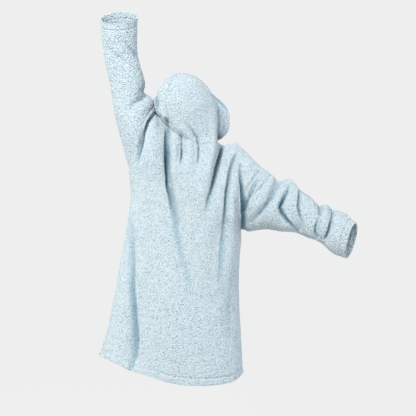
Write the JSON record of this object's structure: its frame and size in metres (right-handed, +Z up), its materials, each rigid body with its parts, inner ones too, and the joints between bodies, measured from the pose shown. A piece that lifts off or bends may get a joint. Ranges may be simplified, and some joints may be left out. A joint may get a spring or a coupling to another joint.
{
  "type": "oversized hoodie",
  "caption": "Oversized plush fleece hoodie in its worn form, hood up, left sleeve raised and right sleeve held out, open at the hem, cuffs and hood rim.",
  "frame": {"origin": "base of the neck, between the shoulders, where the wearer's shoulders hold the garment up", "axes": "+Z up, -Y the garment's front, +X the side of the left sleeve"},
  "size_m": [0.9824, 0.3721, 1.3998],
  "materials": {
    "fleece": "curly long-pile fleece, matt with a soft sheen"
  },
  "bodies": {
    "root": {"back": "fleece", "front_lower": "fleece", "front_upper": "fleece", "sleeve_left": "fleece", "sleeve_right": "fleece", "hood_left": "fleece", "hood_right": "fleece"}
  },
  "joints": []
}
